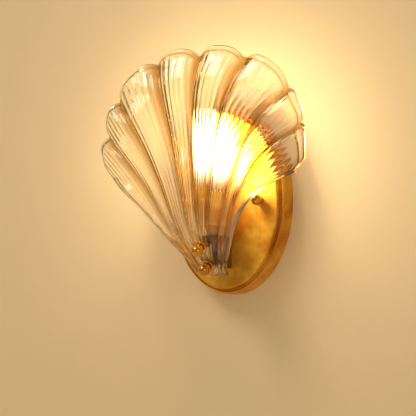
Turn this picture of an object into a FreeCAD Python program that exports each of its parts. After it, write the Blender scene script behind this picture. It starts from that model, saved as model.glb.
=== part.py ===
import FreeCAD, Part
import math
import os

# A wall sconce: a scallop-shell shade of clear fluted glass, clamped at its foot by two ball
# cap nuts to a folded brass arm, which stands out from an upright oval canopy on the wall.
# Frame: origin where the middle of the canopy's back meets the wall, +Z up, +X to the right
# of someone facing the lamp. The wall is the plane Y = 0 and the lamp stands towards -Y.

doc = FreeCAD.newDocument("shell_sconce")
sheet = doc.addObject("Spreadsheet::Sheet", "Dimensions")

# ---------------------------------------------------------------- driving dimensions (mm)
DIMENSIONS = [
    # oval canopy
    ("canopy_half_width", 55.5, "half width of the canopy at the wall"),
    ("canopy_half_height", 80.0, "half height of the canopy at the wall"),
    ("canopy_depth", 20.5, "wall to the canopy's front face"),
    ("canopy_sheet", 1.2, "thickness of the spun brass"),
    ("rim_depth", 15.6, "wall to the top of the outer side wall"),
    ("rim_bead", 0.8, "how far the bead stands above the side wall"),
    ("step_inset", 5.4, "canopy edge to the edge of the raised face"),
    # crossbar behind the canopy, and the studs that hold the canopy
    ("bar_half_length", 46.0, "half length of the crossbar"),
    ("bar_height", 18.0, "height of the crossbar"),
    ("bar_sheet", 1.6, "thickness of the crossbar"),
    ("slot_offset", 21.0, "lamp centre to the middle of a wall screw slot"),
    ("slot_radius", 2.3, "half width of a wall screw slot"),
    ("slot_run", 14.0, "length of a wall screw slot"),
    ("cable_hole_radius", 6.0, "hole in the crossbar for the supply cable"),
    ("stud_offset", 34.4, "lamp centre to a canopy stud"),
    ("stud_radius", 2.0, "all the M4 studs and screws"),
    ("thread_gap", 0.05, "running gap between a stud and its hole"),
    ("seat_gap", 0.05, "gap under a nut that turns"),
    # ball cap nuts
    ("ball_radius", 4.7, "ball of a cap nut"),
    ("collar_radius", 3.6, "neck of a cap nut"),
    ("collar_height", 2.2, "length of that neck"),
    ("washer_radius", 5.6, "brass washer under a cap nut"),
    ("washer_sheet", 1.0, "its thickness"),
    ("washer_gap", 0.7, "lobe crest to washer, for the paper ring between them"),
    ("pad_gap", 0.3, "glass to rubber washer"),
    ("pad_radius", 6.0, "rubber washer on the inside of the glass"),
    ("pad_sheet", 1.5, "its thickness"),
    # glass shell
    ("glass_wall", 4.0, "thickness of the glass"),
    ("foot_depth", 28.3, "wall to the tail of the shell's foot"),
    ("foot_drop", 62.8, "lamp centre down to that tail"),
    ("foot_heading", -22.4, "direction of the foot at its tail, degrees above outward"),
    ("foot_run", 21.0, "length of the curled foot"),
    ("clamp_heading", 56.7, "direction of the flat where the nuts clamp, degrees"),
    ("clamp_run", 24.0, "length of that flat"),
    ("bend_run", 30.0, "length over which the shell turns upright"),
    ("upright_heading", 86.0, "direction of the shell after that bend, degrees"),
    ("wall_run", 128.0, "length of the tall front"),
    ("rim_heading", 100.0, "direction of the shell at its rim, degrees"),
    ("foot_half_width", 12.0, "half width of the shell at its tail"),
    ("lobe_share_1", 0.215, "spread of the lobe beside the middle, per length of shell"),
    ("lobe_share_2", 0.298, "spread of the second lobe"),
    ("lobe_share_3", 0.220, "spread of the third lobe"),
    ("lobe_share_4", 0.275, "spread of the outer lobe"),
    ("lobe_depth", 8.5, "how far a lobe stands out from its valleys at the rim"),
    ("foot_bulge", 0.3, "the same at the tail of the foot"),
    ("side_sweep", 10.0, "how far the outer edges lie back towards the wall"),
    ("lobe_squareness", 3.0, "1 is a ridge, 2 a round lobe, more gives a flat top, steep flanks"),
    ("flare", 0.25, "how much faster than evenly the lobes spread towards the rim"),
    ("waist", 0.2, "how much the lobes draw in between tail and rim, as a share"),
    ("waist_skew", 1.6, "moves the waist towards the rim, 1 for half way"),
    ("swell_middle", 7.0, "how far the middle valley swells outwards below the rim"),
    ("swell_side", 13.0, "the same at the two outer edges"),
    ("swell_skew", 4.0, "moves the swelling towards the rim, 1 for half way"),
    ("column_0", 203.0, "length of the middle valley, tail to rim"),
    ("column_1", 198.0, "first valley from the middle"),
    ("column_2", 172.0, "second valley"),
    ("column_3", 141.0, "third valley"),
    ("column_4", 103.0, "outer edge"),
    # scalloped rim seen from the front: heights of the notches above the lamp's centre
    ("notch_height_0", 119.0, "middle notch"),
    ("notch_height_1", 115.5, "first notch"),
    ("notch_height_2", 87.5, "second notch"),
    ("notch_height_3", 59.0, "third notch"),
    ("notch_height_4", 21.0, "lower corner of the rim"),
    ("notch_offset_1", 41.6, "first notch, sideways"),
    ("notch_offset_2", 81.7, "second notch, sideways"),
    ("notch_offset_3", 93.0, "third notch, sideways"),
    ("notch_offset_4", 87.2, "lower corner, sideways"),
    ("scallop_rise", 9.0, "how far a lobe's rim stands beyond its notches"),
    # where the nuts clamp, as lengths along the shell from its tail
    ("lower_clamp", 23.7, "tail to the lower nut"),
    ("upper_clamp", 43.2, "tail to the upper nut"),
    # folded arm
    ("arm_width", 14.0, "width of the arm"),
    ("arm_sheet", 1.5, "thickness of its brass"),
    ("arm_top", -31.0, "height of the arm's top edge"),
    ("arm_bottom", -57.5, "height of its floor"),
    ("arm_screw_high", -36.0, "height of the upper fixing screw"),
    ("arm_screw_low", -52.2, "height of the lower fixing screw"),
    ("screw_head_radius", 3.4, "pan head of a machine screw"),
    ("screw_head_height", 2.0, "its height"),
    ("wire_height", -44.0, "height of the wires through the canopy"),
    ("wire_hole_radius", 3.6, "hole in canopy and arm for the wires"),
    # lampholder
    ("lamp_depth", 41.0, "wall to the lamp's upright axis"),
    ("bridge_half_length", 8.0, "half length of the bridge across the arm"),
    ("bridge_sheet", 1.5, "thickness of the bridge"),
    ("nipple_radius", 4.0, "threaded tube under the lampholder"),
    ("nipple_bore", 2.9, "radius of its bore"),
    ("nipple_length", 13.0, "its length"),
    ("nut_flats", 12.0, "locknut across flats"),
    ("nut_height", 3.0, "height of the locknut"),
    ("holder_radius", 14.0, "lampholder shell"),
    ("holder_height", 36.0, "its height"),
    ("holder_wall", 1.6, "its wall"),
    ("core_margin", 3.0, "holder's height beyond its core and the bulb's cap"),
    ("sleeve_radius", 7.7, "outside of the threaded sleeve"),
    ("sleeve_wall", 0.4, "its wall"),
    ("contact_radius", 3.0, "spring contact in the core"),
    # bulb
    ("cap_radius", 6.9, "screw cap of the bulb"),
    ("cap_length", 21.0, "its length"),
    ("cap_clearance", 0.35, "bulb's tip to the contact"),
    ("tip_radius", 2.5, "contact at the bulb's tip"),
    ("tip_height", 1.6, "its height"),
    ("bulb_radius", 17.5, "widest part of the candle bulb"),
    ("bulb_length", 70.0, "glass of the bulb above its cap"),
    ("bulb_glass", 0.8, "thickness of the bulb's glass"),
    ("filament_radius", 0.7, "one filament strip"),
    ("filament_length", 30.0, "its length"),
    ("filament_ring", 4.5, "filament strips to the bulb's axis"),
    ("stem_radius", 2.6, "glass stem in the bulb"),
    ("stem_length", 16.0, "its length"),
    # supply side
    ("block_width", 20.0, "terminal block, sideways"),
    ("block_height", 11.0, "its height"),
    ("block_depth", 9.0, "its depth"),
    ("block_top", -17.0, "height of its top"),
    ("terminal_radius", 1.6, "terminal screw"),
    ("terminal_pitch", 6.0, "spacing of the terminals"),
    ("wire_radius", 0.9, "one insulated wire"),
    ("wire_spread", 1.4, "each wire to the middle"),
    ("wire_bend", 6.0, "radius of the wires' bends"),
    ("wire_drop_depth", 13.0, "wall to the wires inside the canopy"),
    ("earth_offset", 41.3, "lamp centre to the earth screw"),
    ("bush_rim", 0.8, "how far the bush's flange stands round its hole"),
    ("bush_sheet", 1.0, "thickness of that flange"),
]

# sizes that follow from others: a taller holder lifts its core, so the bulb stays at its mouth
FOLLOWING = [
    ("core_height", "=holder_height - cap_length - core_margin",
     "height of the insulating core"),
]

for row, (alias, value, meaning) in enumerate(DIMENSIONS + FOLLOWING, start=1):
    sheet.set("A%d" % row, meaning)
    sheet.set("B%d" % row, str(value))
    sheet.setAlias("B%d" % row, alias)
doc.recompute()


def dim(alias):
    """One driving dimension as a number."""
    return float(sheet.get(alias))


def bind(obj, prop, expression):
    """Tie one property of an object to the sheet; names in braces are cells."""
    obj.setExpression(prop, expression.replace("{", "<<Dimensions>>.").replace("}", ""))


sheet.Label = "Dimensions"

OUT = FreeCAD.Vector(0, -1, 0)
UP = FreeCAD.Vector(0, 0, 1)
# Turns a shape drawn along its own +Z so that it points out from the wall.
TO_FRONT = FreeCAD.Rotation(FreeCAD.Vector(1, 0, 0), 90)
# The same, with the drawing's own X upright: an ellipse's long way is then its height.
OVAL_TO_FRONT = FreeCAD.Rotation(FreeCAD.Vector(0, 0, 1), FreeCAD.Vector(-1, 0, 0),
                                 FreeCAD.Vector(0, -1, 0), "ZXY")
SUB_PARTS = []


def at(across, out, height):
    """A point: across the lamp, out from the wall, above the centre."""
    return FreeCAD.Vector(across, -out, height)


def finish(obj, label):
    """Name a sub-part and list it for export."""
    obj.Label = label
    SUB_PARTS.append(obj)
    return obj


def place(obj, rotation, across="0", out="0", height="0"):
    """Turn an object and bind its position to the sheet."""
    obj.Placement = FreeCAD.Placement(FreeCAD.Vector(), rotation)
    bind(obj, "Placement.Base.x", across)
    bind(obj, "Placement.Base.y", "-(%s)" % out)
    bind(obj, "Placement.Base.z", height)
    return obj


def cylinder(name, radius, length, across="0", out="0", height="0", rotation=TO_FRONT):
    """A cylinder from a point along the direction that the rotation gives to +Z."""
    obj = doc.addObject("Part::Cylinder", name)
    bind(obj, "Radius", radius)
    bind(obj, "Height", length)
    return place(obj, rotation, across, out, height)


def cone(name, radius_low, radius_high, length, across="0", out="0", height="0",
         rotation=TO_FRONT):
    """A cone laid out as a cylinder is."""
    obj = doc.addObject("Part::Cone", name)
    bind(obj, "Radius1", radius_low)
    bind(obj, "Radius2", radius_high)
    bind(obj, "Height", length)
    return place(obj, rotation, across, out, height)


def block(name, size, across, out, height):
    """A box centred across on a point, from out towards the wall, with its floor at height."""
    obj = doc.addObject("Part::Box", name)
    bind(obj, "Length", size[0])
    bind(obj, "Width", size[1])
    bind(obj, "Height", size[2])
    obj.Placement = FreeCAD.Placement()
    bind(obj, "Placement.Base.x", "%s - (%s) / 2" % (across, size[0]))
    bind(obj, "Placement.Base.y", "-(%s)" % out)
    bind(obj, "Placement.Base.z", height)
    return obj


def fuse(name, *pieces):
    obj = doc.addObject("Part::MultiFuse", name)
    obj.Shapes = list(pieces)
    return obj


def cut(name, base, *tools):
    """The base with every tool taken away."""
    obj = doc.addObject("Part::Cut", name)
    obj.Base = base
    obj.Tool = tools[0] if len(tools) == 1 else fuse(name + "_tools", *tools)
    return obj


def group(name, *pieces):
    """Separate solids of one node."""
    obj = doc.addObject("Part::Compound", name)
    obj.Links = list(pieces)
    return obj


def feature(name, shape):
    """A computed shape whose sizes were read from the sheet."""
    obj = doc.addObject("Part::Feature", name)
    obj.Shape = shape
    obj.Placement = FreeCAD.Placement()
    return obj


# ---------------------------------------------------------------- canopy
def oval(name, inset, out):
    """The canopy's outline drawn in by an inset, at a depth from the wall."""
    ring = doc.addObject("Part::Ellipse", name)
    bind(ring, "MajorRadius", "{canopy_half_height} - (%s)" % inset)
    bind(ring, "MinorRadius", "{canopy_half_width} - (%s)" % inset)
    return place(ring, OVAL_TO_FRONT, out=out)


def oval_solid(name, rings):
    """A solid through a run of ovals."""
    loft = doc.addObject("Part::Loft", name)
    loft.Sections = [oval("%s_%d" % (name, i), inset, out) for i, (inset, out) in enumerate(rings)]
    loft.Solid = True
    loft.Ruled = True
    return loft


def make_canopy():
    """The stepped oval dish: side wall, bead, groove and raised flat face, open at the wall."""
    outside = oval_solid("canopy_outside", [
        ("0", "0"),
        ("1", "{rim_depth}"),
        ("1.3", "{rim_depth} + 0.7 * {rim_bead}"),
        ("1.9", "{rim_depth} + {rim_bead}"),
        ("2.6", "{rim_depth} + 0.7 * {rim_bead}"),
        ("2.9", "{rim_depth} - 0.6"),
        ("{step_inset} - 1.3", "{rim_depth} - 0.6"),
        ("{step_inset} - 0.8", "{canopy_depth} - 0.9"),
        ("{step_inset} - 0.5", "{canopy_depth} - 0.3"),
        ("{step_inset} + 0.3", "{canopy_depth}"),
    ])
    inside = oval_solid("canopy_inside", [
        ("{canopy_sheet}", "-1"),
        ("{canopy_sheet} + 1", "{rim_depth} - 0.6 - {canopy_sheet}"),
        ("{step_inset} - 1.3 + {canopy_sheet}", "{rim_depth} - 0.6 - {canopy_sheet}"),
        ("{step_inset} - 0.5 + {canopy_sheet}", "{canopy_depth} - {canopy_sheet}"),
    ])
    behind = "{canopy_depth} - 2 * {canopy_sheet}"
    through = "4 * {canopy_sheet}"
    stud_hole = "{stud_radius} + {thread_gap}"
    holes = [cylinder("canopy_hole_right", stud_hole, through, "{stud_offset}", behind),
             cylinder("canopy_hole_left", stud_hole, through, "-{stud_offset}", behind),
             cylinder("canopy_hole_high", stud_hole, through, "0", behind, "{arm_screw_high}"),
             cylinder("canopy_hole_low", stud_hole, through, "0", behind, "{arm_screw_low}"),
             cylinder("canopy_hole_wires", "{wire_hole_radius}", through, "0", behind,
                      "{wire_height}")]
    finish(cut("canopy_body", outside, inside, *holes), "canopy")


# ---------------------------------------------------------------- crossbar and canopy studs
def slot(name, across):
    """A slot along X through the crossbar, with round ends."""
    half = "({slot_run} / 2 - {slot_radius})"
    ends = [cylinder(name + end, "{slot_radius}", "{bar_sheet} + 2",
                     "%s %s %s" % (across, sign, half), "-1")
            for end, sign in (("_outer", "+"), ("_inner", "-"))]
    middle = block(name + "_middle", ("2 * " + half, "{bar_sheet} + 2", "2 * {slot_radius}"),
                   across, "{bar_sheet} + 1", "-{slot_radius}")
    return fuse(name, middle, *ends)


def make_crossbar():
    plate = block("bar_plate", ("2 * {bar_half_length}", "{bar_sheet}", "{bar_height}"),
                  "0", "{bar_sheet}", "-{bar_height} / 2")
    through = "{bar_sheet} + 2"
    stud_hole = "{stud_radius} + {thread_gap}"
    finish(cut("bar_body", plate,
               slot("bar_slot_right", "{slot_offset}"),
               slot("bar_slot_left", "-{slot_offset}"),
               cylinder("bar_cable", "{cable_hole_radius}", through, "0", "-1"),
               cylinder("bar_stud_right", stud_hole, through, "{stud_offset}", "-1"),
               cylinder("bar_stud_left", stud_hole, through, "-{stud_offset}", "-1"),
               cylinder("bar_earth", stud_hole, through, "{earth_offset}", "-1")),
           "wall_crossbar")
    length = "{canopy_depth} + {washer_sheet} + {collar_height} + 2"
    finish(group("canopy_stud_pair",
                 cylinder("stud_right", "{stud_radius}", length, "{stud_offset}"),
                 cylinder("stud_left", "{stud_radius}", length, "-{stud_offset}")),
           "canopy_studs")
    head = cylinder("earth_head", "{screw_head_radius}", "{screw_head_height}", "{earth_offset}",
                    "{bar_sheet} + 2 * {wire_radius}")
    shank = cylinder("earth_shank", "{stud_radius}", "{bar_sheet} + 2 * {wire_radius}",
                     "{earth_offset}")
    finish(fuse("earth_screw_body", head, shank), "earth_screw")


# ---------------------------------------------------------------- glass shell
LEGS = [("foot_run", "foot_heading", "clamp_heading"),
        ("clamp_run", "clamp_heading", "clamp_heading"),
        ("bend_run", "clamp_heading", "upright_heading"),
        ("wall_run", "upright_heading", "rim_heading")]
WALK_STEP = 0.1
LOBE_POINTS = 9


def profile(length):
    """Point, outward normal of the shell's middle line, so far along it from the tail."""
    out = dim("foot_depth")
    height = -dim("foot_drop")
    left = length
    heading = math.radians(dim("foot_heading"))
    for leg, (run, start, end) in enumerate(LEGS):
        run_length = dim(run)
        # the last leg carries on past the rim, for the blank that the rim is cut from
        here = left if leg == len(LEGS) - 1 else min(left, run_length)
        steps = max(1, int(round(here / WALK_STEP)))
        for i in range(steps):
            share = here * (i + 0.5) / steps / run_length
            heading = math.radians(dim(start) + (dim(end) - dim(start)) * share)
            out += here / steps * math.cos(heading)
            height += here / steps * math.sin(heading)
        left -= here
        if left <= 0:
            break
    normal = FreeCAD.Vector(0, -math.sin(heading), -math.cos(heading))
    return at(0, out, height), normal


SHELL_LENGTH = sum(dim(run) for run, start, end in LEGS)
SHARES = [dim("lobe_share_%d" % i) for i in (1, 2, 3, 4)]


SPREAD = [sum(SHARES[:i]) for i in range(len(SHARES) + 1)]
COLUMNS = [dim("column_%d" % i) for i in range(len(SPREAD))]


def mirrored(half, sign):
    """Values for the right half, middle first, written out from left to right."""
    return [sign * value for value in reversed(half[1:])] + half


def valley_offsets(length):
    """Sideways places of the nine valleys and edges, so far along the shell."""
    foot = dim("foot_half_width")
    flared = length * (length / SHELL_LENGTH) ** dim("flare")
    half = []
    for spread, column in zip(SPREAD, COLUMNS):
        part = min(length / column, 1.0)
        waist = 1 - dim("waist") * math.sin(math.pi * part ** dim("waist_skew"))
        half.append(waist * math.hypot(foot * spread / SPREAD[-1], spread * flared))
    return mirrored(half, -1)


def valley_lifts(length):
    """How far the valleys and edges stand out from the middle line's path."""
    half = []
    for spread, column, across in zip(SPREAD, COLUMNS,
                                      valley_offsets(length)[len(SPREAD) - 1:]):
        part = min(length / column, 1.0)
        side = spread / SPREAD[-1]
        swell = dim("swell_middle") + (dim("swell_side") - dim("swell_middle")) * side
        half.append(swell * math.sin(math.pi * part ** dim("swell_skew"))
                    - dim("side_sweep") * (across / dim("notch_offset_4")) ** 2)
    return mirrored(half, 1)


def lobe_bulge(length):
    """How far the lobes stand out from their valleys, so far along the shell."""
    return dim("foot_bulge") + (dim("lobe_depth") - dim("foot_bulge")) * length / SHELL_LENGTH


def lobe_curve(start, end, crest):
    """A lobe's edge: a curve from valley to valley that stands out by the crest vector."""
    points = []
    for i in range(LOBE_POINTS):
        share = i / (LOBE_POINTS - 1)
        height = 1 - abs(2 * share - 1) ** dim("lobe_squareness")
        points.append(start + (end - start) * share + crest * height)
    curve = Part.BSplineCurve()
    curve.interpolate(points)
    return curve.toShape()


def shell_section(length):
    """The shell's cross-section: eight bulging arcs outside, eight inside, two straight edges."""
    origin, normal = profile(length)
    bulge = lobe_bulge(length)
    valleys = list(zip(valley_offsets(length), valley_lifts(length)))

    def point(valley, lift):
        across, lifted = valley
        return origin + normal * (lifted + lift) + FreeCAD.Vector(across, 0, 0)

    def row(lift):
        edges = []
        for left, right in zip(valleys, valleys[1:]):
            edges.append(lobe_curve(point(left, lift), point(right, lift), normal * bulge))
        return edges

    outer = row(0.0)
    inner = row(-dim("glass_wall"))
    right_edge = Part.makeLine(point(valleys[-1], 0.0), point(valleys[-1], -dim("glass_wall")))
    left_edge = Part.makeLine(point(valleys[0], -dim("glass_wall")), point(valleys[0], 0.0))
    return Part.Wire(outer + [right_edge] + list(reversed(inner)) + [left_edge])


def rim_outline():
    """The scalloped outline seen from the front, closed well below the shell's foot."""
    notches = [(0.0, dim("notch_height_0"))]
    notches += [(dim("notch_offset_%d" % i), dim("notch_height_%d" % i)) for i in (1, 2, 3, 4)]
    centre_height = -dim("foot_drop")
    edges = []
    front = dim("canopy_depth") - 200
    for side in (1, -1):
        for (x0, z0), (x1, z1) in zip(notches, notches[1:]):
            chord = math.hypot(x1 - x0, z1 - z0)
            rise = dim("scallop_rise") * chord / dim("notch_offset_1")
            nx = (z0 - z1) / chord
            nz = (x1 - x0) / chord
            start = FreeCAD.Vector(side * x0, front, z0)
            end = FreeCAD.Vector(side * x1, front, z1)
            edges.append(lobe_curve(start, end, FreeCAD.Vector(side * nx, 0, nz) * rise))
    # below the lower corners the outline leaves the shell's own edges alone
    edge_out = dim("notch_offset_4") + 0.5 * dim("glass_wall")
    corner_height = dim("notch_height_4") - 4 * dim("glass_wall")
    low = centre_height - 2 * dim("foot_run")
    right = [FreeCAD.Vector(dim("notch_offset_4"), front, dim("notch_height_4")),
             FreeCAD.Vector(edge_out, front, corner_height),
             FreeCAD.Vector(edge_out, front, low)]
    left = [FreeCAD.Vector(-p.x, p.y, p.z) for p in reversed(right)]
    path = right + left
    edges += [Part.makeLine(a, b) for a, b in zip(path, path[1:])]
    return Part.Face(Part.Wire(Part.__sortEdges__(edges)))


def shell_hole(length):
    """The clamping hole at a length along the shell."""
    origin, normal = profile(length)
    reach = 3 * dim("glass_wall")
    return Part.makeCylinder(dim("stud_radius") + 0.5, 2 * reach, origin - normal * reach, normal)


def make_shade():
    foot = dim("foot_run")
    clamp_end = foot + dim("clamp_run")
    bend_end = clamp_end + dim("bend_run")
    stations = [foot * i / 4 for i in range(5)]
    stations += [clamp_end]
    stations += [clamp_end + dim("bend_run") * i / 3 for i in (1, 2, 3)]
    stations += [bend_end + dim("wall_run") * i / 8 for i in range(1, 9)]
    stations += [SHELL_LENGTH + 2 * dim("scallop_rise")]
    blank = Part.makeLoft([shell_section(length) for length in stations], True, False)
    trimmed = blank.common(rim_outline().extrude(FreeCAD.Vector(0, 400, 0)))
    holed = trimmed.cut(shell_hole(dim("lower_clamp"))).cut(shell_hole(dim("upper_clamp")))
    solid = max(holed.Solids, key=lambda part: part.Volume)
    finish(feature("shade_body", solid), "glass_shade")


# ---------------------------------------------------------------- clamp hardware
def along(point, normal):
    """A placement whose +Z follows the normal from the point."""
    return FreeCAD.Placement(point, FreeCAD.Rotation(FreeCAD.Vector(0, 0, 1), normal))


def cap_nut(name):
    """A ball cap nut standing on its neck at the origin, blind bore from below."""
    neck = doc.addObject("Part::Cylinder", name + "_neck")
    bind(neck, "Radius", "{collar_radius}")
    bind(neck, "Height", "{collar_height} + 1")
    ball = doc.addObject("Part::Sphere", name + "_ball")
    bind(ball, "Radius", "{ball_radius}")
    bind(ball, "Placement.Base.z", "{collar_height} + {ball_radius} * 0.8")
    bore = doc.addObject("Part::Cylinder", name + "_bore")
    bind(bore, "Radius", "{stud_radius} + {thread_gap}")
    bind(bore, "Height", "{collar_height} + {ball_radius}")
    bore.Placement = FreeCAD.Placement()
    return cut(name + "_body", fuse(name + "_blank", neck, ball), bore)


def make_canopy_nuts():
    for side, sign in (("left", "-"), ("right", "")):
        nut = cap_nut("canopy_nut_" + side)
        place(nut, TO_FRONT, sign + "{stud_offset}", "{canopy_depth} + {seat_gap}")
        finish(nut, "canopy_nut_" + side)


def ring(name, outer, inner, height):
    """A washer standing on the origin."""
    blank = doc.addObject("Part::Cylinder", name + "_disc")
    bind(blank, "Radius", outer)
    bind(blank, "Height", height)
    hole = doc.addObject("Part::Cylinder", name + "_hole")
    bind(hole, "Radius", inner)
    bind(hole, "Height", height)
    return cut(name + "_ring", blank, hole)


def make_clamps():
    """Per clamp: stud, inner rubber washer, outer brass washer and cap nut."""
    studs, pads, washers = [], [], []
    for which in ("lower", "upper"):
        origin, normal = profile(dim(which + "_clamp"))
        # the lobes already stand a little proud where the nuts sit
        proud = lobe_bulge(dim(which + "_clamp")) + dim("washer_gap")
        inside = -dim("glass_wall")
        arm_face = inside - dim("pad_gap") - dim("pad_sheet")
        stud_start = arm_face - dim("arm_sheet")
        stud_end = proud + dim("washer_sheet") + dim("collar_height") + 2.5
        stud = doc.addObject("Part::Cylinder", "shade_stud_" + which)
        bind(stud, "Radius", "{stud_radius}")
        stud.Height = stud_end - stud_start
        stud.Placement = along(origin + normal * stud_start, normal)
        studs.append(stud)
        pad = ring("pad_" + which, "{pad_radius}", "{stud_radius} + {thread_gap}", "{pad_sheet}")
        pad.Placement = along(origin + normal * arm_face, normal)
        pads.append(pad)
        washer = ring("washer_" + which, "{washer_radius}", "{stud_radius} + {thread_gap}",
                      "{washer_sheet}")
        washer.Placement = along(origin + normal * proud, normal)
        washers.append(washer)
        nut = cap_nut("shade_nut_" + which)
        nut_seat = proud + dim("washer_sheet") + dim("seat_gap")
        nut.Placement = along(origin + normal * nut_seat, normal)
        finish(nut, "shade_nut_" + which)
    finish(group("shade_stud_pair", *studs), "shade_studs")
    finish(group("pad_pair", *pads), "shade_pads")
    finish(group("washer_pair", *washers), "shade_washers")


# ---------------------------------------------------------------- arm
def make_arm():
    """Folded brass channel, open at the top: back web, floor, two cheeks and a sloping front."""
    low_point, normal = profile(dim("lower_clamp"))
    arm_face = -dim("glass_wall") - dim("pad_gap") - dim("pad_sheet")
    face_point = low_point + normal * arm_face
    # unit vector up the sloping front
    slope = FreeCAD.Vector(0, normal.z, -normal.y)
    top = dim("arm_top")
    bottom = dim("arm_bottom")
    wall = dim("arm_sheet")
    back = dim("canopy_depth")

    def front_at(height, inset):
        base = face_point - normal * inset
        share = (height - base.z) / slope.z
        return -(base.y + slope.y * share)

    def side(out_low, out_high, low, high, inset, half_width):
        corners = [(out_low, low), (front_at(low, inset), low), (front_at(high, inset), high),
                   (out_high, high)]
        points = [FreeCAD.Vector(-half_width, -out, height) for out, height in corners]
        face = Part.Face(Part.makePolygon(points + points[:1]))
        return face.extrude(FreeCAD.Vector(2 * half_width, 0, 0))

    outer = side(back, back, bottom, top, 0.0, dim("arm_width") / 2)
    inner = side(back + wall, back + wall, bottom + wall, top + wall, wall,
                 dim("arm_width") / 2 - wall)
    arm = outer.cut(inner)
    for which in ("lower", "upper"):
        origin, direction = profile(dim(which + "_clamp"))
        arm = arm.cut(Part.makeCylinder(dim("stud_radius") + dim("thread_gap"), 4 * wall,
                                        origin + direction * (arm_face - 2 * wall), direction))
    for height, radius in ((dim("arm_screw_high"), dim("stud_radius") + dim("thread_gap")),
                           (dim("arm_screw_low"), dim("stud_radius") + dim("thread_gap")),
                           (dim("wire_height"), dim("wire_hole_radius"))):
        arm = arm.cut(Part.makeCylinder(radius, 4 * wall, at(0, back - wall, height), OUT))
    finish(feature("arm_body", arm), "shade_arm")

    screws = []
    for name, height in (("high", "{arm_screw_high}"), ("low", "{arm_screw_low}")):
        seat = "{canopy_depth} - {canopy_sheet}"
        head = cylinder("arm_screw_head_" + name, "{screw_head_radius}", "{screw_head_height}",
                        "0", seat + " - {screw_head_height}", height)
        shank = cylinder("arm_screw_shank_" + name, "{stud_radius}",
                         "{canopy_sheet} + {arm_sheet} + 1.5", "0", seat, height)
        screws.append(fuse("arm_screw_" + name, head, shank))
    finish(group("arm_screw_pair", *screws), "arm_screws")


# ---------------------------------------------------------------- lampholder
UPRIGHT = FreeCAD.Rotation()


def upright(name, radius, length, height):
    """A cylinder on the lamp's upright axis."""
    return cylinder(name, radius, length, "0", "{lamp_depth}", height, UPRIGHT)


HOLDER_FLOOR = "({arm_top} + {bridge_sheet})"
CORE_TOP = "(%s + {holder_wall} + {core_height})" % HOLDER_FLOOR
CAP_FLOOR = "(%s + {tip_height} + 1 + {cap_clearance})" % CORE_TOP


def make_lampholder():
    bridge = block("bridge_plate", ("{arm_width}", "2 * {bridge_half_length}", "{bridge_sheet}"),
                   "0", "{lamp_depth} + {bridge_half_length}", "{arm_top}")
    finish(cut("bridge_body", bridge,
               upright("bridge_hole", "{nipple_radius} + {thread_gap}", "{bridge_sheet} + 2",
                       "{arm_top} - 1")), "holder_bridge")

    nipple_floor = "(%s + {holder_wall} + 1.5 - {nipple_length})" % HOLDER_FLOOR
    finish(cut("nipple_body",
               upright("nipple_tube", "{nipple_radius}", "{nipple_length}", nipple_floor),
               upright("nipple_hole", "{nipple_bore}", "{nipple_length}", nipple_floor)),
           "holder_nipple")

    hexagon = doc.addObject("Part::Prism", "nut_prism")
    hexagon.Polygon = 6
    bind(hexagon, "Circumradius", "{nut_flats} / sqrt(3)")
    bind(hexagon, "Height", "{nut_height}")
    place(hexagon, FreeCAD.Rotation(UP, 30), "0", "{lamp_depth}",
          "{arm_top} - {nut_height}")
    hexagon_cheek = block("nut_flat", ("{arm_width} - 2 * {arm_sheet} - 0.2", "30",
                                       "{nut_height}"),
                          "0", "{lamp_depth} + 15", "{arm_top} - {nut_height}")
    trimmed = doc.addObject("Part::Common", "nut_trimmed")
    trimmed.Base = hexagon
    trimmed.Tool = hexagon_cheek
    finish(cut("nut_body", trimmed,
               upright("nut_hole", "{nipple_radius} + {thread_gap}", "{nut_height}",
                       "{arm_top} - {nut_height}")), "holder_locknut")

    shell = fuse("holder_outside",
                 cone("holder_base", "{holder_radius} - 4", "{holder_radius}", "8",
                      "0", "{lamp_depth}", HOLDER_FLOOR, UPRIGHT),
                 upright("holder_barrel", "{holder_radius}", "{holder_height} - 8",
                         HOLDER_FLOOR + " + 8"))
    hollow = fuse("holder_inside",
                  cone("holder_well_base", "{holder_radius} - 4 - {holder_wall}",
                       "{holder_radius} - {holder_wall}", "8 - {holder_wall}",
                       "0", "{lamp_depth}", HOLDER_FLOOR + " + {holder_wall}", UPRIGHT),
                  upright("holder_well", "{holder_radius} - {holder_wall}", "{holder_height}",
                          HOLDER_FLOOR + " + 8"),
                  upright("holder_entry", "{nipple_radius} + {thread_gap}",
                          "2 * {holder_wall}", HOLDER_FLOOR + " - 0.5 * {holder_wall}"))
    finish(cut("holder_body", shell, hollow), "lampholder_shell")

    core_floor = "(%s + {holder_wall} + 2)" % HOLDER_FLOOR
    post = upright("core_post", "{holder_radius} - {holder_wall} - 3.0", "{core_height} - 2",
                   core_floor)
    finish(cut("core_body", post,
               upright("core_well", "{contact_radius} + 0.05", "2", CORE_TOP + " - 2"),
               upright("core_wires", "{nipple_bore}", "{core_height}", core_floor + " - 1")),
           "lampholder_core")
    finish(upright("contact_body", "{contact_radius}", "3", CORE_TOP + " - 2"),
           "centre_contact")

    sleeve_height = "(%s + {holder_height} - 1 - %s)" % (HOLDER_FLOOR, CORE_TOP)
    sleeve = cut("sleeve_tube",
                 upright("sleeve_outside", "{sleeve_radius}", sleeve_height, CORE_TOP),
                 upright("sleeve_inside", "{sleeve_radius} - {sleeve_wall}", sleeve_height,
                         CORE_TOP))
    collar_floor = "(%s + {holder_height} - 3)" % HOLDER_FLOOR
    collar = cut("sleeve_collar",
                 upright("collar_outside", "{holder_radius} - {holder_wall}", "2",
                         collar_floor),
                 upright("collar_inside", "{sleeve_radius}", "2", collar_floor))
    finish(sleeve, "screw_sleeve")
    finish(collar, "sleeve_collar")


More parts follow.
